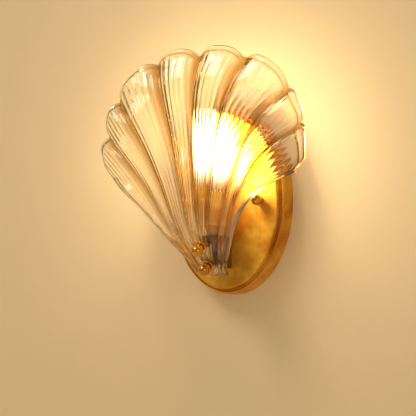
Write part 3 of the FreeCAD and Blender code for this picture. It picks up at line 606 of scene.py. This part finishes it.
# %% rows and columns
WALL = 4.0
FLUTES = 7
PER_FLUTE = 8
CREST_ROUNDNESS = 0.8
COLUMNS = LOBES * FLUTES * PER_FLUTE
TAIL_ROWS = np.array([0.0, 0.15, 0.45, 0.9, 1.4, 1.8])
RIM_ROWS = np.array([9.0, 7.5, 6.3, 5.4, 4.8, 4.3, 3.9, 3.5, 3.0, 2.5, 2.0, 1.6, 1.2, 0.8,
                     0.45, 0.2, 0.05, 0.0])
MIDDLE_ROWS = 60
FIRST_RIM_ROW = len(TAIL_ROWS) + MIDDLE_ROWS
ROWS = FIRST_RIM_ROW + len(RIM_ROWS) - 1
TAIL_ROUND = 9.0
TAIL_TURN = 0.98

column = np.arange(COLUMNS + 1)
lobe_of = np.minimum(column // (FLUTES * PER_FLUTE), LOBES - 1)
share_of = column / (FLUTES * PER_FLUTE) - lobe_of
crest_of = np.abs(np.sin(math.pi * FLUTES * share_of)) ** CREST_ROUNDNESS


def tail_start():
    """Where each column starts, later towards the sides, so that the tail's corners are round."""
    side = (valley_across(1.0, lobe_of) * (1.0 - share_of)
            + valley_across(1.0, lobe_of + 1) * share_of)
    side = np.clip(np.abs(side / valley_across(1.0, LOBES)), 0.0, 1.0)
    return TAIL_ROUND * (1.0 - np.sqrt(1.0 - TAIL_TURN * side ** 2))


def row_length(row, start, ends):
    """How far along the shell a row lies, in every column."""
    if row < len(TAIL_ROWS):
        return start + TAIL_ROWS[row]
    if row >= FIRST_RIM_ROW:
        return ends - RIM_ROWS[row - FIRST_RIM_ROW]
    first = start + TAIL_ROWS[-1]
    part = (row - len(TAIL_ROWS) + 1) / (MIDDLE_ROWS + 1)
    return first + (ends - RIM_ROWS[0] - first) * part


print("glass grid:", COLUMNS, "columns by", ROWS, "rows")

# %% [markdown]
# ## Faces of the glass
# The flutes are pressed into the outer face only, deeper towards the rim. Near the rim they fade
# into a plain lip behind a shallow groove, and every edge rounds over into the wall's thickness,
# as glass does when the flame finishes it. The inner face is smooth and lies one wall further in.

# %% faces of the glass
FLUTE_DEPTH = 1.4
FLUTE_GROWTH = 2.2
LIP = 4.0
FADE_START = 0.6
FADE_RUN = 0.8
LIP_GROOVE = 1.0
LIP_GROOVE_WIDTH = 0.7
ROUND = 1.8


def rounded(distance):
    """How far a surface has dropped at a distance from an edge that is rounded over."""
    near = np.clip(1.0 - distance / ROUND, 0.0, 1.0)
    return ROUND * (1.0 - np.sqrt(1.0 - near ** 2))


def pressed(length, from_rim):
    """How deep the flutes and the groove behind the lip are pressed."""
    depth = FLUTE_DEPTH * (length / SHELL_LENGTH) ** FLUTE_GROWTH
    fade = np.clip((from_rim - FADE_START * LIP) / (FADE_RUN * LIP), 0.0, 1.0)
    groove = LIP_GROOVE * np.exp(-((from_rim - LIP) / LIP_GROOVE_WIDTH) ** 2)
    return depth * (1.0 - crest_of) * fade + groove


def shell_surface(drop, outer):
    """Every point of one face of the shell, as an array of column, row and coordinate."""
    ends = rim_length(lobe_of, share_of, drop)
    start = tail_start()
    surface = np.zeros((COLUMNS + 1, ROWS + 1, 3))
    for row in range(ROWS + 1):
        length = row_length(row, start, ends)
        across = shell_point(length, lobe_of, share_of, drop)[0]
        from_side = np.maximum(valley_across(length, LOBES) - np.abs(across), 0.0)
        sunk = rounded(ends - length) + rounded(length - start) + rounded(from_side)
        sunk = np.minimum(sunk, ROUND)
        if outer:
            lowered = drop + sunk + pressed(length, ends - length)
        else:
            lowered = drop - sunk
        surface[:, row, :] = np.stack(shell_point(length, lobe_of, share_of, lowered), axis=1)
    return surface


print("faces of the glass ready")

# %% [markdown]
# ## Glass shell
# A flat grid is made for each face, and each of its vertices is moved onto the shell. Bridging the
# two borders closes the wall at the tail, the sides and the rim. Each vertex also keeps a number
# for the amber line, which is painted shade: strong in the valleys between lobes, faint between
# flutes, and along the groove of the lip. The shell casts no shadow, because clear glass lets the
# bulb light the wall, which the renderer would otherwise need very many samples to find.

# %% glass shell
# How strong the painted amber shade is between flutes and along the lip, and how sharp it is in the
# valleys.
FLUTE_SHADE = 0.4
LIP_SHADE = 0.8
LIP_SHADE_WIDTH = 0.6
VALLEY_SHADE_SHARPNESS = 2.6


def amber_shade_line(across, along, outer):
    """How strong the painted amber shade is at a vertex of the grid."""
    line = abs(2.0 * share_of[across] - 1.0) ** VALLEY_SHADE_SHARPNESS
    if outer and along >= FIRST_RIM_ROW:
        from_lip = (RIM_ROWS[along - FIRST_RIM_ROW] - LIP) / LIP_SHADE_WIDTH
        line += LIP_SHADE * math.exp(-from_lip ** 2)
    elif outer:
        line += FLUTE_SHADE * (1.0 - crest_of[across]) ** 2
    return line


def sheet_of_glass(mesh, drop, outer):
    """A grid with each vertex moved onto one face of the shell."""
    surface = shell_surface(drop, outer)
    # The layer that holds the painted amber shade for each vertex.
    line = mesh.verts.layers.float["valley"]
    made = bmesh.ops.create_grid(mesh, x_segments=COLUMNS, y_segments=ROWS, size=1.0)["verts"]
    for vertex in made:
        across = round((vertex.co.x + 1.0) / 2.0 * COLUMNS)
        along = round((vertex.co.y + 1.0) / 2.0 * ROWS)
        x, out, z = surface[across, along]
        vertex.co = (x * MM, -out * MM, z * MM)
        vertex[line] = amber_shade_line(across, along, outer)


mesh = bmesh.new()
mesh.verts.layers.float.new("valley")
sheet_of_glass(mesh, 0.0, True)
sheet_of_glass(mesh, WALL, False)
bmesh.ops.bridge_loops(mesh, edges=[edge for edge in mesh.edges if edge.is_boundary])
shell = piece("pressed_glass_shell", mesh, clear_glass, "lamp", "clear_glass", "glass_shade")
shell.visible_shadow = False

# %% [markdown]
# ## Canopy outline
# The canopy is a spun brass dish, written as an outline of how far in from the oval edge and how
# far out from the wall the metal is: side wall, round bead, groove, and the step up to the raised
# flat face. The back is open and can be seen, so the same outline follows again inside, one sheet
# thickness in.

# %% canopy outline
CANOPY_HALF_WIDTH = 55.5
CANOPY_HALF_HEIGHT = 80.0
CANOPY_DEPTH = 20.5
RIM_DEPTH = 15.6
BEAD = 0.8
GROOVE = 0.6
STEP = 5.4
SHEET = 1.2

side_wall = [(0.0, 0.0), (0.04, 0.4), (0.95, RIM_DEPTH - GROOVE), (1.0, RIM_DEPTH)]
bead = [(2.0 - math.cos(math.radians(a)), RIM_DEPTH + BEAD * math.sin(math.radians(a)))
        for a in range(15, 180, 15)]
groove = [(2.95, RIM_DEPTH - 0.35), (3.15, RIM_DEPTH - GROOVE), (STEP - 1.5, RIM_DEPTH - GROOVE),
          (STEP - 1.3, RIM_DEPTH - 0.45)]
step_up = [(STEP - 0.85, CANOPY_DEPTH - 1.1), (STEP - 0.75, CANOPY_DEPTH - 0.7),
           (STEP - 0.5, CANOPY_DEPTH - 0.3), (STEP - 0.15, CANOPY_DEPTH - 0.08),
           (STEP + 0.3, CANOPY_DEPTH)]
outside = side_wall + bead + groove + step_up
inside = [(SHEET, 0.0), (SHEET + 0.9, RIM_DEPTH - 0.9 - SHEET),
          (SHEET + 1.1, RIM_DEPTH - GROOVE - SHEET),
          (STEP - 1.3 + SHEET, RIM_DEPTH - GROOVE - SHEET),
          (STEP - 0.6 + SHEET, CANOPY_DEPTH - SHEET - 0.2),
          (STEP - 0.3 + SHEET, CANOPY_DEPTH - SHEET)]
print("canopy outline:", len(outside), "points outside and", len(inside), "inside")

# %% [markdown]
# ## Canopy
# An oval ring of edges is extruded once for each point of the outline, as the spinner's roller
# follows the metal. It starts at the inner face, goes over the back edge and ends at the outer
# face, and the two faces are then filled. Each new vertex takes its angle from the vertex that it
# grew from. The bead catches the light in the photograph, so its faces take the polished finish.

# %% canopy
OVAL_STEPS = 224
BEAD_INSET = 3.0
BEAD_FOOT = 0.05


def next_ring(mesh, turns):
    """Extrudes the last ring of edges, and gives each new vertex its parent's angle."""
    edges = [edge for edge in mesh.edges if all(vertex in turns for vertex in edge.verts)]
    grown = bmesh.ops.extrude_edge_only(mesh, edges=edges)["geom"]
    fresh = {}
    for vertex in [item for item in grown if isinstance(item, bmesh.types.BMVert)]:
        for edge in vertex.link_edges:
            if edge.other_vert(vertex) in turns:
                fresh[vertex] = turns[edge.other_vert(vertex)]
    return fresh


def oval_rings(mesh, outline):
    """Extrudes an oval ring of edges along an outline of (inset, depth) in mm."""
    ring = bmesh.ops.create_circle(mesh, segments=OVAL_STEPS, radius=1.0)["verts"]
    turns = {vertex: math.atan2(vertex.co.y, vertex.co.x) for vertex in ring}
    for index, (inset, depth) in enumerate(outline):
        if index:
            turns = next_ring(mesh, turns)
        for vertex, turn in turns.items():
            vertex.co = ((CANOPY_HALF_WIDTH - inset) * MM * math.cos(turn), -depth * MM,
                         (CANOPY_HALF_HEIGHT - inset) * MM * math.sin(turn))


def on_bead(centre):
    """Whether a face's centre is on the bead: near the oval edge and above the side wall."""
    reach = math.hypot(centre.x / CANOPY_HALF_WIDTH, centre.z / CANOPY_HALF_HEIGHT)
    return (-centre.y > (RIM_DEPTH - BEAD_FOOT) * MM
            and reach * CANOPY_HALF_WIDTH > (CANOPY_HALF_WIDTH - BEAD_INSET) * MM)


mesh = bmesh.new()
oval_rings(mesh, inside[::-1] + outside)
bmesh.ops.holes_fill(mesh, edges=[edge for edge in mesh.edges if edge.is_boundary], sides=0)
canopy = piece("spun_canopy", mesh, satin_brass, "lamp", "satin_brass", "canopy")
canopy.data.materials.append(polished_brass)
for polygon in canopy.data.polygons:
    if len(polygon.vertices) > 4:
        polygon.use_smooth = False
    elif on_bead(polygon.center):
        polygon.material_index = 1

# %% [markdown]
# ## Cap nuts
# Ball nuts turned from bar: a neck with a broken edge, a fine groove, and the ball. The bore is
# part of the outline, so the stud inside has room. Two hold the canopy, and two clamp the glass
# where the shell runs flat, standing square to it. Each rides on its own body, because each can be
# turned by hand.

# %% cap nuts
BALL = 4.7
BALL_CENTRE = 5.96
BALL_START = -46.0
BALL_POINTS = 22
NECK = 3.6
BORE = 2.05
BORE_DEPTH = 6.9
NUT_OFFSET = 34.4
SEAT = 0.05
WASHER_GAP = 0.7
WASHER = 1.0
CLAMPS = {"lower": 23.7, "upper": 43.2}
CLAMP_HEADING = math.radians(56.7)
CLAMP_NORMAL = Vector((0.0, -math.sin(CLAMP_HEADING), -math.cos(CLAMP_HEADING)))
TO_FRONT = Vector((0.0, -1.0, 0.0))


def clamp_point(length, above_gap):
    """A point over the glass so far along its middle line, in metres."""
    foot = Vector((0.0, -np.interp(length, walk, path_out) * MM,
                   np.interp(length, walk, path_height) * MM))
    return foot + CLAMP_NORMAL * (bulge_at(length) + WASHER_GAP + above_gap) * MM


def cap_nut(name, node, body, origin, direction):
    outline = [(0.0, BORE_DEPTH), (BORE, BORE_DEPTH), (BORE, 0.0), (NECK - 0.25, 0.0),
               (NECK, 0.25), (NECK, 1.75), (NECK - 0.15, 1.95), (NECK - 0.35, 2.1),
               (NECK - 0.35, 2.45)]
    outline += arc((0.0, BALL_CENTRE), BALL, BALL_START, 90.0, BALL_POINTS)
    mesh = bmesh.new()
    stand(mesh, spin(mesh, outline), origin, direction)
    piece(name, mesh, polished_brass, body, "polished_brass", node)


for side, across in (("left", -NUT_OFFSET), ("right", NUT_OFFSET)):
    cap_nut("ball_nut_" + side, "canopy_nut_" + side, "nut_canopy_" + side,
            Vector((across, -(CANOPY_DEPTH + SEAT), 0.0)) * MM, TO_FRONT)
for side, length in CLAMPS.items():
    cap_nut("ball_nut_" + side, "shade_nut_" + side, "nut_shade_" + side,
            clamp_point(length, WASHER + SEAT), CLAMP_NORMAL)

# %% [markdown]
# ## Washers
# A washer is a closed outline spun about its axis: flat below, with its upper edge worn round. The
# two are one piece, as they are one node of the CAD model.

# %% washers
washer_outline = [(BORE, 0.0), (5.35, 0.0), (5.6, 0.25), (5.6, 0.75), (5.45, 0.93),
                  (5.2, WASHER), (BORE, WASHER)]
mesh = bmesh.new()
for length in CLAMPS.values():
    stand(mesh, spin(mesh, washer_outline, close=True), clamp_point(length, 0.0), CLAMP_NORMAL)
piece("turned_washers", mesh, polished_brass, "lamp", "polished_brass", "shade_washers")

# %% [markdown]
# ## CAD pieces that stay
# The folded arm, the screws, the wires and the rest already have their true shape, so they only
# take the finishes from above. The bulb's glass casts no shadow, like the shell, because the light
# that stands for its filament is inside it.

# %% finishes on the CAD pieces
FINISHES = {
    # The arm and bridge take the brass with painted shade.
    shaded_brass: ("shade_arm", "holder_bridge"),
    satin_brass: ("lampholder_shell",),
    polished_brass: ("holder_nipple", "holder_locknut", "arm_screws", "centre_contact",
                     "screw_sleeve", "shade_studs"),
    zinc_steel: ("wall_crossbar", "canopy_studs", "earth_screw", "terminal_screws"),
    black_rubber: ("shade_pads", "wire_bush"),
    white_insulator: ("lampholder_core", "sleeve_collar", "filament_carrier"),
    nickel_cap: ("bulb_cap", "bulb_tip"),
    bulb_envelope: ("bulb_glass",),
    clear_stem: ("bulb_stem",),
    lit_filament: ("filament_strips",),
    terminal_plastic: ("terminal_block",),
    brown_sleeving: ("live_wire",),
    blue_sleeving: ("neutral_wire",),
    green_yellow_sleeving: ("earth_wire",),
}
for finish, names in FINISHES.items():
    for name in names:
        slots = nodes[name].data.materials
        slots.clear()
        slots.append(finish)
nodes["bulb_glass"].visible_shadow = False
nodes["bulb_stem"].visible_shadow = False
print("finishes set on", sum(len(names) for names in FINISHES.values()), "CAD nodes")

# %% [markdown]
# ## Stage
# A pale warm wall behind the lamp, and a pale floor well below it. The wall is a ring round an
# oval opening that the canopy covers, and its paint is clear from behind, so the lamp's back and
# the inside of its canopy can be looked at. A solid wall would hide both.

# %% stage
WALL_REACH = 1.6
WALL_GAP = 0.0004
WALL_STEPS = 96
OPENING_MARGIN = 1.0
FLOOR_REACH = 3.0
FLOOR_HEIGHT = -0.6


def stage_piece(name, mesh, finish):
    data = bpy.data.meshes.new(name)
    mesh.to_mesh(data)
    mesh.free()
    data.materials.append(finish)
    made = bpy.data.objects.new(name, data)
    scene.collection.objects.link(made)


def wall_paint():
    """Matt paint on the front of the wall, and nothing seen from behind."""
    finish = Finish("wall_paint", Roughness=0.9, Base_Color=rgb(236, 210, 168))
    behind = finish.node("ShaderNodeNewGeometry", output="Backfacing")
    clear = finish.node("ShaderNodeBsdfTransparent")
    paint = Wire(finish, finish.shader.outputs[0])
    shown = finish.node("ShaderNodeMixShader", {}, {0: behind, 1: paint, 2: clear})
    finish.fill(finish.output.inputs["Surface"], shown)
    return finish.material


mesh = bmesh.new()
inner = bmesh.ops.create_circle(mesh, segments=WALL_STEPS, radius=1.0)["verts"]
grown = bmesh.ops.extrude_edge_only(mesh, edges=mesh.edges)["geom"]
outer = [item for item in grown if isinstance(item, bmesh.types.BMVert)]
bmesh.ops.scale(mesh, vec=(WALL_REACH, WALL_REACH, 1.0), verts=outer)
bmesh.ops.scale(mesh, vec=((CANOPY_HALF_WIDTH - OPENING_MARGIN) * MM,
                           (CANOPY_HALF_HEIGHT - OPENING_MARGIN) * MM, 1.0), verts=inner)
upright = Matrix.Rotation(math.radians(90.0), 4, "X")
bmesh.ops.transform(mesh, matrix=Matrix.Translation((0.0, WALL_GAP, 0.0)) @ upright,
                    verts=mesh.verts)
mesh.normal_update()
if sum(face.normal.y for face in mesh.faces) > 0.0:
    bmesh.ops.reverse_faces(mesh, faces=mesh.faces)
stage_piece("wall_stage", mesh, wall_paint())

mesh = bmesh.new()
bmesh.ops.create_grid(mesh, x_segments=1, y_segments=1, size=FLOOR_REACH)
bmesh.ops.translate(mesh, vec=(0.0, 0.0, FLOOR_HEIGHT), verts=mesh.verts)
floor_paint = Finish("floor_paint", Roughness=0.9, Base_Color=rgb(236, 228, 214))
stage_piece("floor_stage", mesh, floor_paint.material)
print("stage set")

# %% [markdown]
# ## Lights
# Large soft lights stand in for a studio: a key from high on the left, a weak fill from the right,
# and one behind that only the back of the lamp gets. A small warm light inside the bulb lets it
# light its own canopy and the wall, which is where the photograph's glow comes from.

# %% lights
BULB_LIGHT = (0.0, -0.041, 0.040)


def soft_light(name, spot, size, power, colour):
    """A round light that is turned towards the lamp."""
    data = bpy.data.lights.new(name, "AREA")
    data.shape = "DISK"
    data.size = size
    data.energy = power
    data.color = colour
    made = bpy.data.objects.new(name, data)
    scene.collection.objects.link(made)
    made.location = spot
    made.rotation_mode = "QUATERNION"
    made.rotation_quaternion = (-Vector(spot)).to_track_quat("-Z", "Y")


soft_light("key", (-1.1, -1.2, 1.9), 1.0, 24.0, (1.0, 0.94, 0.84))
soft_light("rear", (0.5, 1.6, 0.6), 1.2, 12.0, (1.0, 0.96, 0.9))
soft_light("fill", (1.6, -1.3, 0.3), 0.8, 4.0, (1.0, 0.94, 0.84))
glow = bpy.data.lights.new("bulb_light", "POINT")
glow.energy = 0.78
glow.color = (1.0, 0.93, 0.62)
glow.shadow_soft_size = 0.012
bulb_light = bpy.data.objects.new("bulb_light", glow)
scene.collection.objects.link(bulb_light)
bulb_light.location = BULB_LIGHT
print("four lights set")

# %% [markdown]
# ## Room
# The world is the light of the room around the lamp, warm and even. Brass and glass need something
# to reflect in every direction, and this gives it to them without any picture.

# %% room
world = bpy.data.worlds.new("world")
scene.world = world
world.use_nodes = True
room = world.node_tree.nodes["Background"]
room.inputs["Color"].default_value = (1.0, 0.87, 0.64, 1.0)
room.inputs["Strength"].default_value = 0.36
print("room light set")
